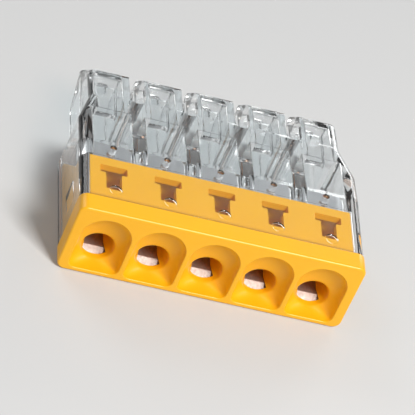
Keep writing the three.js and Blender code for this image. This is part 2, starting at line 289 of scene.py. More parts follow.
def between_outlines(first: Sequence[Point], last: Sequence[Point], share: float) -> list[Point]:
    """The outline that lies a share of the way from one outline to another with as many points."""
    return [(a[0] + (b[0] - a[0]) * share, a[1] + (b[1] - a[1]) * share) for a, b in zip(first, last)]


class Join(Enum):
    """How two solids are put together."""

    ADD = "UNION"
    CUT = "DIFFERENCE"


class Solid:
    """A closed body in millimetres, kept as a bmesh. Edges shorter than TINY are merged away."""

    TINY = 0.0008

    def __init__(self, layout: Layout, bm: bmesh.types.BMesh) -> None:
        """Keeps the mesh and the layout that it was placed by."""
        self.layout = layout
        self.bm = bm

    @classmethod
    def prism(
        cls,
        layout: Layout,
        sweep: Sweep,
        outline: Sequence[Point],
        low: float,
        high: float,
        edge: float = 0.0,
    ) -> "Solid":
        """A flat outline drawn out, with its two rims rounded over if asked.

        Args:
            layout: the connector's layout.
            sweep: the direction.
            outline: the closed outline.
            low: where it starts.
            high: where it ends.
            edge: the radius of both rims.

        Returns:
            The body.
        """
        bm = bmesh.new()
        face = bm.faces.new([bm.verts.new(sweep.place(layout, u, v, low)) for u, v in outline])
        drawn = bmesh.ops.extrude_face_region(bm, geom=[face])
        moved = [item for item in drawn["geom"] if isinstance(item, bmesh.types.BMVert)]
        step = sweep.place(layout, 0, 0, high) - sweep.place(layout, 0, 0, low)
        bmesh.ops.translate(bm, verts=moved, vec=step)
        bmesh.ops.recalc_face_normals(bm, faces=bm.faces)
        body = cls(layout, bm)
        if edge > 0:
            body.round_edges(edge, sharper_than=60)
        return body

    @classmethod
    def block(cls, layout: Layout, low: Sequence[float], high: Sequence[float], edge: float = 0.0) -> "Solid":
        """A block between two corners, given as (x, depth, z), with all its edges rounded over if asked."""
        bm = bmesh.new()
        bmesh.ops.create_cube(bm, size=1.0)
        size = Vector(high) - Vector(low)
        middle = (Vector(high) + Vector(low)) / 2
        bmesh.ops.scale(bm, vec=size, verts=bm.verts)
        bmesh.ops.translate(bm, vec=Vector((middle.x, layout.back(middle.y), middle.z)), verts=bm.verts)
        body = cls(layout, bm)
        if edge > 0:
            body.round_edges(edge, segments=2)
        return body

    @classmethod
    def loft(cls, layout: Layout, sweep: Sweep, rings: Sequence[tuple[float, Sequence[Point]]]) -> "Solid":
        """A body through a row of outlines that all have as many points, closed at both ends.

        Args:
            layout: the connector's layout.
            sweep: the direction that the outlines follow each other in.
            rings: each outline with its place along the sweep.

        Returns:
            The body.
        """
        bm = bmesh.new()
        place, outline = rings[0]
        last = [bm.verts.new(sweep.place(layout, u, v, place)) for u, v in outline]
        bm.faces.new(last)
        for place, outline in rings[1:]:
            edges = [bm.edges.get((a, b)) for a, b in zip(last, last[1:] + last[:1])]
            drawn = bmesh.ops.extrude_edge_only(bm, edges=edges)
            copies = {tuple(item.co): item for item in drawn["geom"] if isinstance(item, bmesh.types.BMVert)}
            last = [copies[tuple(vertex.co)] for vertex in last]
            for vertex, (u, v) in zip(last, outline):
                vertex.co = sweep.place(layout, u, v, place)
        bm.faces.new(last)
        bmesh.ops.recalc_face_normals(bm, faces=bm.faces)
        return cls(layout, bm)

    def round_edges(
        self,
        radius: float,
        segments: int = 3,
        sharper_than: float = 32,
        where: Callable[[Vector], bool] | None = None,
    ) -> "Solid":
        """Rounds the sharp edges over.

        Args:
            radius: how far from the edge the rounding starts.
            segments: the number of steps in it.
            sharper_than: the least angle in degrees between an edge's two faces.
            where: picks edges by their middle point.

        Returns:
            The same body.
        """
        least = math.radians(sharper_than)
        edges = [
            edge
            for edge in self.bm.edges
            if len(edge.link_faces) == 2
            and edge.calc_face_angle(0) > least
            and (where is None or where((edge.verts[0].co + edge.verts[1].co) / 2))
        ]
        bmesh.ops.bevel(
            self.bm,
            geom=edges,
            offset=radius,
            offset_type="OFFSET",
            segments=segments,
            profile=0.5,
            affect="EDGES",
            clamp_overlap=True,
            loop_slide=True,
            material=-1,
        )
        return self

    def joined(self, others: Iterable["Solid"], join: Join) -> "Solid":
        """This body put together with others by Blender's exact boolean.

        Args:
            others: the other bodies, which may run through each other.
            join: how they are put together.

        Returns:
            The same body with its new mesh.
        """
        target = self._stand_in("target")
        bpy.context.scene.collection.objects.link(target)
        holder = bpy.data.collections.new("operands")
        bpy.context.scene.collection.children.link(holder)
        for other in others:
            holder.objects.link(other._stand_in("operand"))
        boolean = target.modifiers.new("join", "BOOLEAN")
        boolean.operation = join.value
        boolean.solver = "EXACT"
        boolean.operand_type = "COLLECTION"
        boolean.collection = holder
        depsgraph = bpy.context.evaluated_depsgraph_get()
        made = bpy.data.meshes.new_from_object(target.evaluated_get(depsgraph))
        self.bm.clear()
        self.bm.from_mesh(made)
        for item in [target, *holder.objects]:
            mesh = item.data
            bpy.data.objects.remove(item)
            bpy.data.meshes.remove(mesh)
        bpy.data.collections.remove(holder)
        bpy.data.meshes.remove(made)
        return self.cleaned()

    def cleaned(self) -> "Solid":
        """This body without the slivers that a boolean or a rounding leaves."""
        bmesh.ops.remove_doubles(self.bm, verts=self.bm.verts, dist=self.TINY)
        bmesh.ops.dissolve_degenerate(self.bm, edges=self.bm.edges, dist=self.TINY)
        return self

    def _stand_in(self, name: str) -> bpy.types.Object:
        """An object with a copy of this body's mesh."""
        mesh = bpy.data.meshes.new(name)
        self.bm.to_mesh(mesh)
        return bpy.data.objects.new(name, mesh)


def merged(solids: Sequence[Solid]) -> Solid:
    """One body from several that overlap."""
    return solids[0].joined(solids[1:], Join.ADD)


# ---- Finishes ----


class Value:
    """A number from a node, which adds Math nodes when it is used in an expression."""

    def __init__(self, nodes: "Nodes", socket: bpy.types.NodeSocket) -> None:
        """Keeps the tree and the socket."""
        self.nodes = nodes
        self.socket = socket

    def _math(self, operation: str, first: "Value | float", second: "Value | float") -> "Value":
        """A Math node on two numbers."""
        node = self.nodes.add("ShaderNodeMath", {"operation": operation}, {0: first, 1: second})
        return Value(self.nodes, node.outputs[0])

    def __add__(self, other: "Value | float") -> "Value":
        """self + other"""
        return self._math("ADD", self, other)

    def __radd__(self, other: float) -> "Value":
        """other + self"""
        return self._math("ADD", other, self)

    def __sub__(self, other: "Value | float") -> "Value":
        """self - other"""
        return self._math("SUBTRACT", self, other)

    def __rsub__(self, other: float) -> "Value":
        """other - self"""
        return self._math("SUBTRACT", other, self)

    def __mul__(self, other: "Value | float") -> "Value":
        """self * other"""
        return self._math("MULTIPLY", self, other)

    def __rmul__(self, other: float) -> "Value":
        """other * self"""
        return self._math("MULTIPLY", other, self)


class Nodes:
    """A material's nodes, with one way to add them."""

    def __init__(self, name: str) -> None:
        """Starts a material with an empty tree."""
        self.material = bpy.data.materials.new(name)
        self.material.use_nodes = True
        self.tree = self.material.node_tree
        self.tree.nodes.clear()

    def add(
        self,
        kind: str,
        settings: dict[str, object] | None = None,
        inputs: dict[str | int, object] | None = None,
    ) -> bpy.types.Node:
        """Adds a node.

        Args:
            kind: the node's type.
            settings: its properties, set first. "stops" are a ramp's (place, colour) pairs.
            inputs: numbers, colours or links for its sockets, by name or place.

        Returns:
            The node.
        """
        node = self.tree.nodes.new(kind)
        for key, value in (settings or {}).items():
            if key == "stops":
                self._set_stops(node.color_ramp, value)
            else:
                setattr(node, key, value)
        for key, value in (inputs or {}).items():
            socket = node.inputs[key]
            if isinstance(value, Value):
                self.tree.links.new(value.socket, socket)
            elif isinstance(value, bpy.types.NodeSocket):
                self.tree.links.new(value, socket)
            else:
                socket.default_value = value
        return node

    @staticmethod
    def _set_stops(ramp: bpy.types.ColorRamp, stops: Sequence[tuple[float, Sequence[float]]]) -> None:
        """Gives a colour ramp its stops."""
        while len(ramp.elements) < len(stops):
            ramp.elements.new(0.5)
        for element, (place, colour) in zip(ramp.elements, stops):
            element.position = place
            element.color = (*colour, 1.0)

    def place(self, stretch: Sequence[float] = (1, 1, 1)) -> bpy.types.NodeSocket:
        """The surface's own place in metres, stretched along the axes."""
        coordinates = self.add("ShaderNodeTexCoord").outputs["Object"]
        return self.add("ShaderNodeMapping", None, {"Vector": coordinates, "Scale": stretch}).outputs[0]

    def noise(self, size: float, detail: float = 2.0, stretch: Sequence[float] = (1, 1, 1)) -> Value:
        """Soft random variation from 0 to 1.

        Args:
            size: the size of its patches in millimetres.
            detail: how many finer layers it has.
            stretch: how many times finer it is along each axis.

        Returns:
            The variation.
        """
        inputs = {"Vector": self.place(stretch), "Scale": 1 / (size * MM), "Detail": detail}
        return Value(self, self.add("ShaderNodeTexNoise", None, inputs).outputs["Fac"])

    def blended(self, share: Value, first: Sequence[float], second: Sequence[float]) -> bpy.types.NodeSocket:
        """A colour between two, by a share."""
        mix = self.add("ShaderNodeMix", {"data_type": "RGBA"}, {0: share, 6: (*first, 1), 7: (*second, 1)})
        return mix.outputs[2]

    def bump(self, height: Value, size: float) -> bpy.types.NodeSocket:
        """A normal for a relief whose full height is a size in millimetres."""
        inputs = {"Height": height, "Distance": size * MM, "Strength": 1.0}
        return self.add("ShaderNodeBump", None, inputs).outputs[0]

    def principled(self, inputs: dict[str, object]) -> bpy.types.Node:
        """The material's main shader."""
        return self.add("ShaderNodeBsdfPrincipled", None, inputs)

    def finish(self, surface: bpy.types.NodeSocket) -> bpy.types.Material:
        """Connects the surface and gives the material."""
        self.add("ShaderNodeOutputMaterial", None, {"Surface": surface})
        return self.material


@dataclass(frozen=True)
class MouldedPlastic:
    """Opaque moulded polyamide: a fine satin skin over a slightly uneven colour."""

    name: str = "golden_yellow_polyamide"
    colour: tuple[float, float, float] = (0.93, 0.47, 0.006)
    deep_colour: tuple[float, float, float] = (0.86, 0.40, 0.004)
    roughness: float = 0.36
    cloud_size: float = 2.6
    skin_size: float = 0.16
    skin_height: float = 0.0035
    flow_size: float = 0.9

    def make(self) -> bpy.types.Material:
        """The material."""
        nodes = Nodes(self.name)
        clouds = nodes.noise(self.cloud_size, 3)
        skin = nodes.noise(self.skin_size, 2)
        flow = nodes.noise(self.flow_size, 2, (1, 0.25, 1))
        principled = nodes.principled(
            {
                "Base Color": nodes.blended(clouds * 0.55 + flow * 0.35, self.colour, self.deep_colour),
                "Roughness": self.roughness + (skin - 0.5) * 0.10 + (flow - 0.5) * 0.12,
                "Normal": nodes.bump(skin, self.skin_height),
                "IOR": 1.53,
            }
        )
        return nodes.finish(principled.outputs[0])


@dataclass(frozen=True)
class ClearPlastic:
    """Clear moulded polycarbonate, with a faint cool tint, flow marks and fine handling haze."""

    name: str = "clear_polycarbonate"
    colour: tuple[float, float, float] = (0.955, 0.970, 0.975)
    roughness: float = 0.035
    flow_size: float = 1.8
    flow_height: float = 0.012
    haze_size: float = 0.5

    def make(self) -> bpy.types.Material:
        """The material. Lamps shine through it, so that what is inside is lit."""
        nodes = Nodes(self.name)
        flow = nodes.noise(self.flow_size, 2, (1, 0.3, 1))
        haze = nodes.noise(self.haze_size, 3)
        glass = nodes.principled(
            {
                "Base Color": (*self.colour, 1),
                "Roughness": self.roughness + haze * 0.035,
                "Normal": nodes.bump(flow, self.flow_height),
                "IOR": 1.58,
                "Transmission Weight": 1.0,
            }
        )
        lamp_way = nodes.add("ShaderNodeBsdfTransparent", None, {"Color": (*self.colour, 1)})
        rays = nodes.add("ShaderNodeLightPath")
        lighting = Value(nodes, rays.outputs["Is Shadow Ray"]) + Value(nodes, rays.outputs["Is Diffuse Ray"])
        shaders = {0: lighting, 1: glass.outputs[0], 2: lamp_way.outputs[0]}
        return nodes.finish(nodes.add("ShaderNodeMixShader", None, shaders).outputs[0])


@dataclass(frozen=True)
class RolledMetal:
    """Sheet metal with the fine grain that rolling leaves along the strip."""

    name: str
    colour: tuple[float, float, float]
    dull_colour: tuple[float, float, float]
    roughness: float
    grain: tuple[float, float, float]
    grain_size: float = 0.22
    grain_height: float = 0.006
    stain_size: float = 1.4

    def make(self) -> bpy.types.Material:
        """The material."""
        nodes = Nodes(self.name)
        grain = nodes.noise(self.grain_size, 3, self.grain)
        stain = nodes.noise(self.stain_size, 4)
        principled = nodes.principled(
            {
                "Base Color": nodes.blended(stain * 0.6 + grain * 0.4, self.colour, self.dull_colour),
                "Metallic": 1.0,
                "Roughness": self.roughness + (grain - 0.5) * 0.22 + (stain - 0.5) * 0.16,
                "Normal": nodes.bump(grain, self.grain_height),
            }
        )
        return nodes.finish(principled.outputs[0])


@dataclass(frozen=True)
class StudioPaper:
    """The matt pale sheet that the connector lies on."""

    name: str = "studio_paper"
    colour: tuple[float, float, float] = (0.58, 0.58, 0.58)

    def make(self) -> bpy.types.Material:
        """The material."""
        nodes = Nodes(self.name)
        principled = nodes.principled({"Base Color": (*self.colour, 1), "Roughness": 0.85})
        return nodes.finish(principled.outputs[0])


TINNED = RolledMetal(
    "tin_plated_copper",
    colour=(0.58, 0.50, 0.46),
    dull_colour=(0.38, 0.30, 0.26),
    roughness=0.62,
    grain=(1, 0.12, 1),
    grain_size=0.16,
    grain_height=0.03,
)
SHEARED = RolledMetal("sheared_copper_edge", (0.80, 0.42, 0.24), (0.62, 0.30, 0.17), 0.42, (1, 1, 0.2))
SPRING_STEEL = RolledMetal("spring_steel", (0.80, 0.81, 0.82), (0.62, 0.63, 0.65), 0.34, (1, 0.10, 0.10))


# ---- Pieces ----


@dataclass
class Piece:
    """What a finished piece is called, what it is made of, and which CAD nodes it stands for."""

    name: str
    slot: str
    replaces: tuple[str, ...]
    finishes: list[bpy.types.Material] = field(default_factory=list)

    def build(self, solid: Solid, smooth_below: float = 34) -> bpy.types.Object:
        """Turns a body into the piece, in metres, with smooth shading on all but its sharp edges.

        Args:
            solid: the body in millimetres.
            smooth_below: the angle in degrees below which two faces shade as one.

        Returns:
            The piece, which rides on nothing yet.
        """
        bmesh.ops.scale(solid.bm, vec=(MM, MM, MM), verts=solid.bm.verts)
        mesh = bpy.data.meshes.new(self.name)
        solid.bm.to_mesh(mesh)
        solid.bm.free()
        for material in self.finishes:
            mesh.materials.append(material)
        mesh.shade_smooth()
        mesh.set_sharp_from_angle(angle=math.radians(smooth_below))
        piece = bpy.data.objects.new(self.name, mesh)
        bpy.context.scene.collection.objects.link(piece)
        weighted = piece.modifiers.new("even_shading", "WEIGHTED_NORMAL")
        weighted.keep_sharp = True
        weighted.weight = 90
        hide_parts(*self.replaces)
        log.info("%s: %d faces", self.name, len(mesh.polygons))
        return piece


@dataclass
class EntryInsert:
    """The yellow insert: a frame with a funnel for each pole, and a core that guides the conductors."""

    layout: Layout
    collar_depth: float = 1.5
    corner: float = 0.6
    front_edge: float = 0.16
    back_edge: float = 0.06
    mouth_half_width: float = 1.72
    mouth_bottom: float = 0.35
    mouth_top: float = 5.05
    mouth_corner: float = 0.5
    lip: float = 0.08
    throat_edge: float = 0.08
    funnel_depth: float = 1.1
    funnel_steps: int = 9
    cup: float = 2.2
    sill_height: float = 0.52
    entry_radius: float = 1.14
    throat_depth: float = 3.6
    bore_radius: float = 1.0
    bore_height: float = 1.84
    channel_half_width: float = 0.64
    core_top: float = 5.09
    core_edge: float = 0.08
    hollow_half_width: float = 1.35
    hollow_front: float = 2.6
    hollow_floor: float = 3.35
    hollow_roof: float = 0.5
    window_half_widths: Point = (0.55, 0.95)  # of the stem, and of the bar behind it
    window_depths: tuple[float, float, float] = (2.8, 4.3, 5.0)  # front, step and back
    latch_depths: tuple[float, float, float] = (3.0, 4.1, 4.6)  # start of the ramp, its crest, and back
    latch_heights: Point = (2.2, 3.6)
    latch_root: float = 0.2
    latch_reach: float = 0.3
    roof_back: float = 5.8
    slope_top: float = 3.95
    tail_back: float = 8.95
    tail_top: float = 1.25
    floor: float = 0.4
    ring_points: int = 56

    @property
    def entry_height(self) -> float:
        """Height of the bore's axis at the funnel's end."""
        return self.sill_height + self.entry_radius

    def frame_ring(self, inset: float) -> list[Point]:
        """The frame's outline from the front, drawn in by an inset."""
        half = self.layout.half_width
        right = [(half - inset, inset), (half - inset, self.layout.height - inset)]
        return rounded(both_sides(right), self.corner - inset, 8)

    def frame_body(self) -> Solid:
        """The frame as a solid slab with a round front edge."""
        rings = []
        for place, inset in quarter(self.front_edge, 5):
            rings.append((place, self.frame_ring(inset)))
        for place, inset in reversed(quarter(self.back_edge, 3)):
            rings.append((self.collar_depth - place, self.frame_ring(inset)))
        return Solid.loft(self.layout, Sweep.INWARD, rings)

    def mouth(self, x: float, grow: float) -> list[Point]:
        """A mouth's outline from the middle of its sill, grown by a distance."""
        half = self.mouth_half_width + grow
        low = self.mouth_bottom - grow
        high = self.mouth_top + grow
        corner = self.mouth_corner + grow
        arch = half - ARC_GAP
        corners = [(x, low, 0), *both_sides([(half, low, corner), (half, high, arch)], x)]
        return evenly(rounded(corners, corner, 14), self.ring_points)

    def closing(self, depth: float) -> float:
        """How far a funnel has closed from its mouth to its hole at a depth, slowly at first as in a cup."""
        return (depth / self.funnel_depth) ** self.cup

    def passage(self, x: float) -> Solid:
        """The space that a conductor goes through: the round lip, the funnel and the bore."""
        entry = circle(x, self.entry_height, self.entry_radius, self.ring_points)
        throat = circle(x, self.bore_height, self.bore_radius, self.ring_points)
        rings = [(-0.2, self.mouth(x, self.lip))]
        for place, grow in quarter(self.lip, 5):
            rings.append((place, between_outlines(self.mouth(x, grow), entry, self.closing(place))))
        for step in range(1, self.funnel_steps + 1):
            place = self.lip + (self.funnel_depth - self.throat_edge - self.lip) * step / self.funnel_steps
            rings.append((place, between_outlines(self.mouth(x, 0), entry, self.closing(place))))
        before = rings[-1][1]
        after_place = self.funnel_depth + self.throat_edge
        after = between_outlines(entry, throat, self.throat_edge / (self.throat_depth - self.funnel_depth))
        for share in (0.25, 0.5, 0.75):
            place = self.funnel_depth + (2 * share - 1) * self.throat_edge
            early = between_outlines(before, entry, share)
            late = between_outlines(entry, after, share)
            rings.append((place, between_outlines(early, late, share)))
        rings += [(after_place, after), (self.throat_depth, throat), (self.tail_back + 1, throat)]
        return Solid.loft(self.layout, Sweep.INWARD, rings)

    def core_body(self) -> Solid:
        """The core behind the frame, from the side."""
        fit = self.layout.fit
        half = self.layout.inner_half_width - fit
        outline = rounded(
            [
                (self.collar_depth / 2, self.layout.bar_top + fit, 0),
                (self.tail_back, self.layout.bar_top + fit),
                (self.tail_back, self.tail_top),
                (self.roof_back, self.slope_top),
                (self.roof_back, self.core_top),
                (self.collar_depth / 2, self.core_top, 0),
            ],
            0.1,
            4,
        )
        return Solid.prism(self.layout, Sweep.ACROSS, outline, -half, half, self.core_edge)

    def latch(self, side: int) -> Solid:
        """The wedge on one end of the core that snaps into the housing."""
        start, crest, back = self.latch_depths
        root = self.layout.inner_half_width - self.layout.fit - self.latch_root
        tip = self.layout.inner_half_width - self.layout.fit + self.latch_reach
        corners = [(root, start), (tip - self.latch_reach, start), (tip, crest), (tip, back), (root, back)]
        outline = rounded([(side * x, depth) for x, depth in corners], 0.06, 3)
        return Solid.prism(self.layout, Sweep.UP, outline, *self.latch_heights, 0.05)

    def window(self, x: float) -> Solid:
        """The window in the roof over one conductor: a stem with a wider bar behind it."""
        stem, bar = self.window_half_widths
        front, step, back = self.window_depths
        outline = rounded(both_sides([(stem, front), (stem, step), (bar, step), (bar, back)], x), 0.1, 3)
        return Solid.prism(self.layout, Sweep.UP, outline, self.hollow_floor, self.layout.height)

    def hollow(self, x: float) -> Solid:
        """The hollow over one bore, open to the back."""
        low = (x - self.hollow_half_width, self.hollow_front, self.hollow_floor)
        high = (x + self.hollow_half_width, self.tail_back, self.core_top - self.hollow_roof)
        return Solid.block(self.layout, low, high, 0.12)

    def channel(self, x: float) -> Solid:
        """The open floor of one bore, over the current bar."""
        half = self.channel_half_width
        low = (x - half, self.collar_depth, self.floor)
        return Solid.block(self.layout, low, (x + half, self.tail_back + 1, self.bore_height))

    def make(self, finish: bpy.types.Material) -> bpy.types.Object:
        """Builds and dresses the insert.

        Args:
            finish: its plastic.

        Returns:
            The piece.
        """
        body = merged([self.frame_body(), self.core_body(), self.latch(-1), self.latch(1)])
        cutters: list[Solid] = []
        for x in self.layout.pole_x:
            cutters += [self.passage(x), self.channel(x), self.hollow(x), self.window(x)]
        body.joined(cutters, Join.CUT)
        piece = Piece("entry_insert_body", "entry_insert", ("entry_insert",), [finish]).build(body)
        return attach(piece, ROOT_BODY)


@dataclass
class ClearHousing:
    """The clear shell: a sleeve round the insert and the springs, and a finger for each conductor's end."""

    layout: Layout
    inset: float = 0.05
    front: float = 1.53
    corner: float = 0.6
    roof: float = 0.6
    floor: float = 0.4
    knee: float = 7.0
    knee_radius: float = 2.0
    back_top: Point = (14.95, 5.02)  # depth and height
    back_radius: float = 0.7
    brow: Point = (0.1, 3.25)  # distance before the fingers' ends, and height
    tip_height: float = 2.75
    chin: Point = (0.18, 2.3)  # distance before the fingers' ends, and height
    heel: float = 15.5
    heel_radius: float = 0.6
    tip_radius: float = 0.3
    shoulder: Point = (9.5, 12.2)  # the depths between which the shell narrows
    shoulder_radius: float = 1.2
    outer_wall: float = 0.15
    finger_half_width: float = 1.36
    finger_front: float = 12.1
    hollow_half_width: float = 0.96
    chamber_half_width: float = 1.45
    hollow_front: float = 11.0
    step_depth: float = 12.26
    shelf_front: float = 12.55
    shelf: Point = (2.6, 3.0)  # heights of the shelf that parts a finger's two hollows
    lower_hollow_back: Point = (15.1, 15.55)  # depth at its floor, and over its bend
    lower_hollow_bend: float = 1.6
    upper_hollow_back: Point = (14.6, 15.4)  # depth at its roof, and under its bend
    upper_hollow_bend: float = 3.7
    bar_step: float = 2.5
    bar_back: float = 10.86
    slack: float = 0.03
    overlap: float = 0.02
    recess_depths: tuple[float, float, float] = (2.9, 4.1, 4.7)  # as the latch's, with a gap
    recess_heights: Point = (2.12, 3.68)
    recess_reach: float = 0.3
    anchor_space_half_width: float = 1.63
    anchor_space_back: float = 7.61
    tongue_space_half_width: float = 0.93
    probe_half_width: float = 0.5
    probe_heights: Point = (1.75, 2.5)
    peg_depth: float = 6.8
    pin_mark_depth: float = 2.35
    edge: float = 0.11

    @property
    def top(self) -> float:
        """Height of the flat part of the roof."""
        return self.layout.height - self.inset

    def roof_height(self, depth: float) -> float:
        """Height of the roof's outside at a depth."""
        share = max(0.0, (depth - self.knee) / (self.back_top[0] - self.knee))
        return self.top + share * (self.back_top[1] - self.top)

    def blank(self) -> Solid:
        """The outside, before the slots between the fingers are cut."""
        half = self.layout.half_width - self.inset
        outer_finger = self.layout.pole_x[-1] + self.finger_half_width + self.outer_wall
        reach = self.layout.depth
        front, tip = self.front, self.tip_radius
        upper = [
            (front, BELOW, 0),
            (front, self.top, 0),
            (self.knee, self.top, self.knee_radius),
            (*self.back_top, self.back_radius),
            (reach - self.brow[0], self.brow[1], tip),
            (reach, self.tip_height, tip),
            (reach, BELOW, 0),
        ]
        lower = [
            (front, ABOVE, 0),
            (front, 0, 0),
            (self.heel, 0, self.heel_radius),
            (reach - self.chin[0], self.chin[1], tip),
            (reach, self.tip_height, tip),
            (reach, ABOVE, 0),
        ]
        plan = [
            (front, 0, 0),
            (front, half, 0),
            (self.shoulder[0], half, self.shoulder_radius),
            (self.shoulder[1], outer_finger, self.shoulder_radius),
            (reach, outer_finger, 0),
            (reach, 0, 0),
        ]
        upper, lower, plan = (rounded(corners, tip, 6) for corners in (upper, lower, plan))
        depths = sorted({round(point[0], 4) for point in (*upper, *lower, *plan)})
        depths = [depth for depth in depths if self.front <= depth <= reach - 0.02]
        rings = []
        for depth in depths:
            high = max(self._read(upper, depth))
            low = min(self._read(lower, depth))
            wide = max(self._read(plan, depth))
            radius = min(self.corner, 0.48 * (high - low))
            rings.append((depth, rounded(both_sides([(wide, low), (wide, high)]), radius, 7)))
        return Solid.loft(self.layout, Sweep.INWARD, rings)

    @staticmethod
    def _read(outline: Sequence[Point], depth: float, close: float = 1e-6) -> list[float]:
        """The outline's second numbers at a depth.

        Args:
            outline: the outline, as (depth, height or half width) points.
            depth: the depth to read at.
            close: how near two depths are when they count as one.

        Returns:
            The number that each side has there, apart from the sides that stand upright.
        """
        found = []
        for (d0, v0), (d1, v1) in zip(outline, outline[1:]):
            if min(d0, d1) - close <= depth <= max(d0, d1) + close and abs(d1 - d0) > close:
                found.append(v0 + (v1 - v0) * (depth - d0) / (d1 - d0))
        return found

    def slot(self, x: float) -> Solid:
        """The gap between two fingers, with a round root."""
        half = self.layout.pitch / 2 - self.finger_half_width
        root = self.finger_front + half
        arc = [math.pi * step / 14 for step in range(15)]
        outline = [(x - half * math.cos(turn), root - half * math.sin(turn)) for turn in arc]
        outline += [(x + half, self.layout.depth + 2), (x - half, self.layout.depth + 2)]
        return Solid.prism(self.layout, Sweep.UP, outline, -2, self.layout.height + 2)

    def cavity(self) -> list[Solid]:
        """The spaces for the insert, the bar and its tongues, the springs and the conductors' ends."""
        lay = self.layout
        fit = lay.fit
        half = lay.inner_half_width
        bar = lay.bar_top + self.slack
        insert = EntryInsert(lay)
        inner_top = self.top - self.roof
        pocket = rounded(
            [
                (0, self.floor - self.overlap),
                (self.bar_step, self.floor - self.overlap),
                (self.bar_step, bar),
                (insert.tail_back + fit, bar),
                (insert.tail_back + fit, insert.tail_top + fit),
                (insert.roof_back + fit, insert.slope_top + fit),
                (insert.roof_back + fit, inner_top),
                (0, inner_top),
            ],
            0.06,
            3,
        )
        bar_low = (self.overlap - half, self.bar_step - 0.2, self.floor)
        spaces = [
            Solid.prism(lay, Sweep.ACROSS, pocket, -half, half, 0.05),
            Solid.block(lay, bar_low, (half - self.overlap, self.bar_back, bar), 0.03),
        ]
        start, crest, back = self.recess_depths
        root, face, tip = half - self.recess_reach, half, half + self.recess_reach
        for side in (-1, 1):
            corners = [(root, start), (face, start), (tip, crest), (tip, back), (root, back)]
            recess = rounded([(side * x, depth) for x, depth in corners], 0.05, 3)
            spaces.append(Solid.prism(lay, Sweep.UP, recess, *self.recess_heights, 0.04))
        for x in lay.pole_x:
            spaces += self.pole_spaces(x, insert, inner_top)
        return spaces

    def pole_spaces(self, x: float, insert: "EntryInsert", inner_top: float) -> list[Solid]:
        """The spaces of one pole.

        Args:
            x: the pole's middle plane.
            insert: the insert, whose tail ends where the spring's space starts.
            inner_top: height of the roof's inside.

        Returns:
            The spring's chamber, the finger's hollow, the anchor's groove, the tongue's pocket and the
            probe's slot.
        """
        lay = self.layout
        bar = lay.bar_top
        front, step, toe = self.hollow_front, self.step_depth, self.floor + 0.1
        chamber = [
            (insert.roof_back, insert.slope_top),
            (insert.tail_back, insert.tail_top),
            (insert.tail_back, bar),
            (front, bar),
            (front, self.roof_height(front) - self.roof),
            (self.knee, inner_top),
            (insert.roof_back, inner_top),
        ]
        low_back, low_end = self.lower_hollow_back
        high_back, high_end = self.upper_hollow_back
        finger = [
            (front - 0.1, bar),
            (step, bar),
            (step, toe),
            (low_back, toe),
            (low_end, self.lower_hollow_bend),
            (low_end, self.shelf[0]),
            (self.shelf_front, self.shelf[0]),
            (self.shelf_front, self.shelf[1]),
            (high_end, self.shelf[1]),
            (high_end, self.upper_hollow_bend),
            (high_back, self.roof_height(high_back) - self.roof),
            (front - 0.1, self.roof_height(front) - self.roof),
        ]

        def drawn(corners: Sequence[Corner], radius: float, half: float, edge: float) -> Solid:
            """An outline's space, drawn out to a half width on both sides of the pole's middle plane."""
            return Solid.prism(lay, Sweep.ACROSS, rounded(corners, radius, 3), x - half, x + half, edge)

        def box(half: float, depths: Point, heights: Point, edge: float) -> Solid:
            """A block of a half width between two depths and two heights."""
            low, high = (x - half, depths[0], heights[0]), (x + half, depths[1], heights[1])
            return Solid.block(lay, low, high, edge)

        anchor = (lay.anchor_bottom - self.slack, lay.anchor_bottom + lay.sheet + self.slack)
        tongue = (10.7, step + 2 * self.overlap)
        return [
            drawn(chamber, 0.1, self.chamber_half_width, 0.08),
            drawn(finger, 0.12, self.hollow_half_width, 0.12),
            box(self.anchor_space_half_width, (insert.roof_back, self.anchor_space_back), anchor, 0.02),
            box(self.tongue_space_half_width, tongue, (self.floor, bar + self.slack), 0.03),
            box(self.probe_half_width, (15.3, lay.depth + 1), self.probe_heights, 0.06),
        ]

    def peg(self, x: float) -> Solid:
        """The peg under the roof that locates a spring."""
        bottom = self.layout.anchor_bottom - 0.1
        top = self.top - self.roof / 2
        rings = [(bottom, 0.16), (bottom + 0.05, 0.215), (bottom + 0.12, 0.24), (top, 0.24)]
        circles = [(z, circle(x, self.peg_depth, radius, 20)) for z, radius in rings]
        return Solid.loft(self.layout, Sweep.UP, circles)

    def pin_mark(self, x: float) -> Solid:
        """The shallow round mark that a mould's ejector pin leaves on the roof over one pole."""
        rings = [(-0.06, 0.30), (-0.05, 0.38), (-0.02, 0.44), (0.01, 0.47), (0.5, 0.47)]
        circles = [(self.top + rise, circle(x, self.pin_mark_depth, radius, 28)) for rise, radius in rings]
        return Solid.loft(self.layout, Sweep.UP, circles)

    def make(self, finish: bpy.types.Material) -> bpy.types.Object:
        """Builds and dresses the housing.

        Args:
            finish: its plastic.

        Returns:
            The piece.
        """
        body = self.blank()
        body.joined([self.slot(x) for x in self.layout.between], Join.CUT)
        body.round_edges(self.edge)
        cutters = [*self.cavity(), *(self.pin_mark(x) for x in self.layout.pole_x)]
        body.joined(cutters, Join.CUT)
        body.joined([self.peg(x) for x in self.layout.pole_x], Join.ADD)
        piece = Piece("clear_housing_shell", "clear_housing", ("clear_housing",), [finish]).build(body)
        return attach(piece, ROOT_BODY)


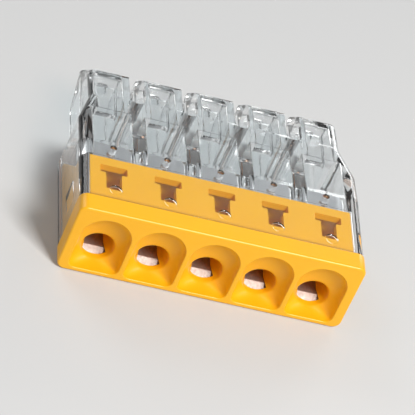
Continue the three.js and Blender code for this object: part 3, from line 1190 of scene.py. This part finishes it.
@dataclass
class CurrentBar:
    """The tin-plated copper bar that joins all the poles, with a contact tongue for each."""

    layout: Layout
    thickness: float = 0.42
    front: float = 1.56
    lead_in: float = 0.45
    lead_in_drop: float = 0.34
    crest_rounding: float = 0.28
    back: float = 10.8
    tongue_back: float = 12.2
    tongue_half_width: float = 0.9
    notch_half_width: float = 0.55
    notch_front: float = 9.3
    corner: float = 0.14
    ridge_feet: Point = (11.0, 11.5)  # depths
    ridge_tops: Point = (11.1, 11.4)  # depths
    ridge_half_width: float = 0.8
    edge: float = 0.035

    def outline(self) -> list[Point]:
        """The bar from above."""
        half = self.layout.inner_half_width - self.layout.fit
        corners: list[Corner] = [(-half, self.front), (half, self.front), (half, self.back)]
        for index, x in enumerate(reversed(self.layout.pole_x)):
            wide = self.tongue_half_width
            corners += [(x + wide, self.back), (x + wide, self.tongue_back), (x - wide, self.tongue_back)]
            corners.append((x - wide, self.back))
            if index < len(self.layout.pole_x) - 1:
                gap = x - self.layout.pitch / 2
                notch = self.notch_half_width
                corners += [(gap + notch, self.back), (gap + notch, self.notch_front)]
                corners += [(gap - notch, self.notch_front), (gap - notch, self.back)]
        corners.append((-half, self.back))
        return rounded(corners, self.corner, 4)

    def ridge(self, x: float) -> Solid:
        """The rounded ridge that one conductor is pressed against."""
        foot, top = self.layout.bar_top - 0.1, self.layout.bar_top + RIDGE_HEIGHT
        tops = [(depth, top, RIDGE_HEIGHT) for depth in self.ridge_tops]
        outline = rounded([(self.ridge_feet[0], foot, 0), *tops, (self.ridge_feet[1], foot, 0)], 0, 4)
        half = self.ridge_half_width
        return Solid.prism(self.layout, Sweep.ACROSS, outline, x - half, x + half, 0.03)

    def lead_in_cutter(self) -> Solid:
        """What is coined away over the bar's front edge, so that a conductor rides up on it."""
        top = self.layout.bar_top
        wide = self.layout.half_width
        corners = [
            (self.front - self.lead_in, top - 2 * self.lead_in_drop),
            (self.front + 2 * self.lead_in, top + self.lead_in_drop),
            (self.front - self.lead_in, top + self.lead_in_drop),
        ]
        return Solid.prism(self.layout, Sweep.ACROSS, corners, -wide, wide)

    def make(self, plating: bpy.types.Material, sheared: bpy.types.Material) -> bpy.types.Object:
        """Builds and dresses the bar.

        Args:
            plating: the finish of its faces.
            sheared: the finish of its cut edges, where the copper shows.

        Returns:
            The piece.
        """
        top = self.layout.bar_top
        body = Solid.prism(self.layout, Sweep.UP, self.outline(), top - self.thickness, top, self.edge)
        body.joined([self.ridge(x) for x in self.layout.pole_x], Join.ADD)
        body.joined([self.lead_in_cutter()], Join.CUT)
        crest = self.layout.back(self.front + self.lead_in)
        body.round_edges(
            self.crest_rounding, 5, 20, lambda at: abs(at.y - crest) < 0.05 and at.z > top - 0.05
        ).cleaned()
        for face in body.bm.faces:
            middle = face.calc_center_median()
            cut = abs(face.normal.z) < 0.3 and top - self.thickness < middle.z < top
            face.material_index = 1 if cut else 0
        piece = Piece("current_bar_strip", "current_bar", ("current_bar",), [plating, sheared]).build(body)
        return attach(piece, ROOT_BODY)


@dataclass
class PoleSpring:
    """One pole's spring: a strip with a flat anchor, a bend, and a leaf that ends in a gripping edge."""

    layout: Layout
    number: int
    anchor_front: float = 5.98
    anchor_back: float = 7.58
    bend_start: float = 7.89
    bend_radius: float = 0.6
    slope: float = math.radians(46)
    anchor_half_width: float = 1.6
    leaf_half_width: float = 1.3
    tip_half_width: float = 0.86
    tip_height: float = 0.18
    shoulder_radius: float = 0.12
    taper: Point = (0.55, 2.1)  # distance from the bend, and length
    taper_radius: float = 0.8
    hole_radius: float = 0.32
    hole_depth: float = 6.8
    bend_steps: int = 34
    edge: float = 0.03

    @property
    def x(self) -> float:
        """The pole's middle plane."""
        return self.layout.pole_x[self.number - 1]

    @property
    def middle(self) -> float:
        """Height of the middle of the anchor's sheet."""
        return self.layout.anchor_bottom + self.layout.sheet / 2

    @property
    def flat(self) -> float:
        """Length of the strip before its bend."""
        return self.bend_start - self.anchor_front

    @property
    def arc(self) -> float:
        """Length of the bend."""
        return self.bend_radius * self.slope

    @property
    def run(self) -> float:
        """Length of the straight leaf after the bend."""
        half = self.layout.sheet / 2
        drop = self.middle - self.bend_radius * (1 - math.cos(self.slope)) - half * math.cos(self.slope)
        return (drop - self.layout.bar_top - self.tip_height) / math.sin(self.slope)

    def on_strip(self, along: float, off: float) -> Point:
        """The (depth, z) of a point on the bent strip.

        Args:
            along: the distance along the middle of the sheet, from the anchor's front.
            off: the distance over the middle of the sheet.

        Returns:
            The point's depth and height.
        """
        turn = min(max(0.0, (along - self.flat) / self.bend_radius), self.slope)
        straight = max(0.0, along - self.flat - self.arc)
        reach = self.bend_radius + off
        depth = min(along, self.flat) + self.anchor_front + reach * math.sin(turn)
        height = self.middle - self.bend_radius + reach * math.cos(turn)
        return depth + straight * math.cos(self.slope), height - straight * math.sin(self.slope)

    def blank(self) -> Solid:
        """The strip before bending, as (x, distance along it, distance over its middle)."""
        end = self.flat + self.arc + self.run
        shoulder = self.anchor_back - self.anchor_front
        taper = self.flat + self.arc + self.taper[0]
        wide, leaf, tip = self.anchor_half_width, self.leaf_half_width, self.tip_half_width
        right: list[Corner] = [
            (wide, 0, 0.2),
            (wide, shoulder),
            (leaf, shoulder + 0.1),
            (leaf, taper, self.taper_radius),
            (tip, taper + self.taper[1], self.taper_radius),
            (tip, end),
        ]
        outline = rounded(both_sides(right), self.shoulder_radius, 5)
        half = self.layout.sheet / 2
        strip = Solid.prism(self.layout, Sweep.UP, outline, -half, half, self.edge)
        place = self.hole_depth - self.anchor_front
        rings = [(z, circle(0, place, self.hole_radius, 28)) for z in (-0.5, 0.5)]
        strip.joined([Solid.loft(self.layout, Sweep.UP, rings)], Join.CUT)
        return strip

    def bent(self) -> Solid:
        """The strip, cut into short lengths and bent into its place."""
        strip = self.blank()
        front = self.layout.front
        end = self.flat + self.arc + self.run
        for step in range(self.bend_steps + 1):
            along = self.flat - 0.1 + (end - self.flat + 0.1) * step / self.bend_steps
            everything = [*strip.bm.verts, *strip.bm.edges, *strip.bm.faces]
            point = Vector((0, front + along, 0))
            bmesh.ops.bisect_plane(strip.bm, geom=everything, dist=1e-5, plane_co=point, plane_no=(0, 1, 0))
        for vertex in strip.bm.verts:
            depth, height = self.on_strip(vertex.co.y - front, vertex.co.z)
            vertex.co = Vector((vertex.co.x + self.x, self.layout.back(depth), height))
        return strip

    def make(self, finish: bpy.types.Material) -> bpy.types.Object:
        """Builds and dresses the spring, bent in one piece from its anchor to its leaf.

        Args:
            finish: its steel.

        Returns:
            The piece.
        """
        nodes = (f"spring_anchor_{self.number}", f"spring_leaf_{self.number}")
        piece = Piece(f"pole_spring_{self.number}", "spring", nodes, [finish]).build(self.bent(), 40)
        start = Vector((self.x, self.layout.back(self.anchor_back), self.middle)) * MM
        depth, height = self.on_strip(self.flat + self.arc + 0.6 * self.run, 0)
        end = Vector((self.x, self.layout.back(depth), height)) * MM
        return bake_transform(piece)


# ---- Studio ----


@dataclass(frozen=True)
class Softbox:
    """A square soft lamp that looks at the connector."""

    name: str
    place: tuple[float, float, float]
    size: float
    power: float
    colour: tuple[float, float, float] = (1.0, 1.0, 1.0)

    def make(self, target: Vector) -> bpy.types.Object:
        """Hangs the lamp.

        Args:
            target: the point in metres that it faces.

        Returns:
            The lamp.
        """
        data = bpy.data.lights.new(self.name, "AREA")
        data.size = self.size * MM
        data.energy = self.power
        data.color = self.colour
        lamp = bpy.data.objects.new(self.name, data)
        lamp.location = Vector(self.place) * MM
        lamp.rotation_euler = (target - lamp.location).to_track_quat("-Z", "Y").to_euler()
        bpy.context.scene.collection.objects.link(lamp)
        return lamp


@dataclass(frozen=True)
class Studio:
    """The pale sheet, the lamps and the camera. The two points that they look at are in millimetres.

    The camera's distance and the sheet's size and drop are in metres, and its angles are in degrees.
    """

    azimuth: float = -18.7
    elevation: float = 40.0
    roll: float = 25.0
    lens: float = 300.0
    distance: float = 0.235
    sensor: float = 36.0
    camera_aim: tuple[float, float, float] = (0.0, -2.2, 2.6)
    lamp_aim: tuple[float, float, float] = (0.0, 0.0, 2.5)
    surround: tuple[float, float, float] = (0.86, 0.88, 0.90)
    surround_strength: float = 0.30
    sheet_size: float = 1.5
    sheet_drop: float = 0.00002

    def lamps(self) -> tuple[Softbox, ...]:
        """The lamps, with places in millimetres."""
        return (
            Softbox("key_softbox", (72, -132, 178), 70, 0.59, (1.0, 0.99, 0.97)),
            Softbox("fill_softbox", (-190, -30, 110), 110, 0.025),
            Softbox("rim_softbox", (110, 190, 60), 90, 0.12),
            Softbox("back_softbox", (-130, 150, 120), 110, 0.10),
        )

    def world(self) -> None:
        """A soft grey surround that clear plastic can mirror."""
        world = bpy.data.worlds.new("studio")
        world.use_nodes = True
        background = world.node_tree.nodes["Background"]
        background.inputs["Color"].default_value = (*self.surround, 1)
        background.inputs["Strength"].default_value = self.surround_strength
        bpy.context.scene.world = world

    def floor(self) -> None:
        """The sheet under the connector."""
        bm = bmesh.new()
        bmesh.ops.create_grid(bm, x_segments=1, y_segments=1, size=self.sheet_size)
        bmesh.ops.translate(bm, vec=(0, 0, -self.sheet_drop), verts=bm.verts)
        mesh = bpy.data.meshes.new("studio_floor")
        bm.to_mesh(mesh)
        bm.free()
        mesh.materials.append(StudioPaper().make())
        sheet = bpy.data.objects.new("studio_floor", mesh)
        bpy.context.scene.collection.objects.link(sheet)

    def camera(self) -> None:
        """The camera, turned round the connector and tilted on its own axis."""
        data = bpy.data.cameras.new("camera")
        data.lens = self.lens
        data.sensor_width = self.sensor
        data.clip_start = 0.002
        data.clip_end = 20
        camera = bpy.data.objects.new("camera", data)
        a, e = math.radians(self.azimuth), math.radians(self.elevation)
        back = Vector((math.sin(a) * math.cos(e), -math.cos(a) * math.cos(e), math.sin(e)))
        target = Vector(self.camera_aim) * MM
        facing = (-back).to_track_quat("-Z", "Y").to_matrix().to_4x4()
        tilt = Matrix.Rotation(math.radians(self.roll), 4, "Z")
        camera.matrix_world = Matrix.Translation(target + back * self.distance) @ facing @ tilt
        bpy.context.scene.collection.objects.link(camera)
        bpy.context.scene.camera = camera

    def make(self) -> None:
        """Sets the studio up."""
        self.world()
        self.floor()
        target = Vector(self.lamp_aim) * MM
        for lamp in self.lamps():
            lamp.make(target)
        self.camera()
        bpy.context.scene.view_settings.view_transform = "Standard"


def main() -> None:
    """Builds the connector and the studio, and logs each piece's face count."""
    logging.basicConfig(level=logging.INFO, format="%(name)s: %(message)s", stream=sys.stdout)
    layout = Layout.from_frame()
    Studio().make()
    EntryInsert(layout).make(MouldedPlastic().make())
    CurrentBar(layout).make(TINNED.make(), SHEARED.make())
    steel = SPRING_STEEL.make()
    for number in range(1, len(layout.pole_x) + 1):
        PoleSpring(layout, number).make(steel)
    ClearHousing(layout).make(ClearPlastic().make())


if __name__ == "__main__":
    main()
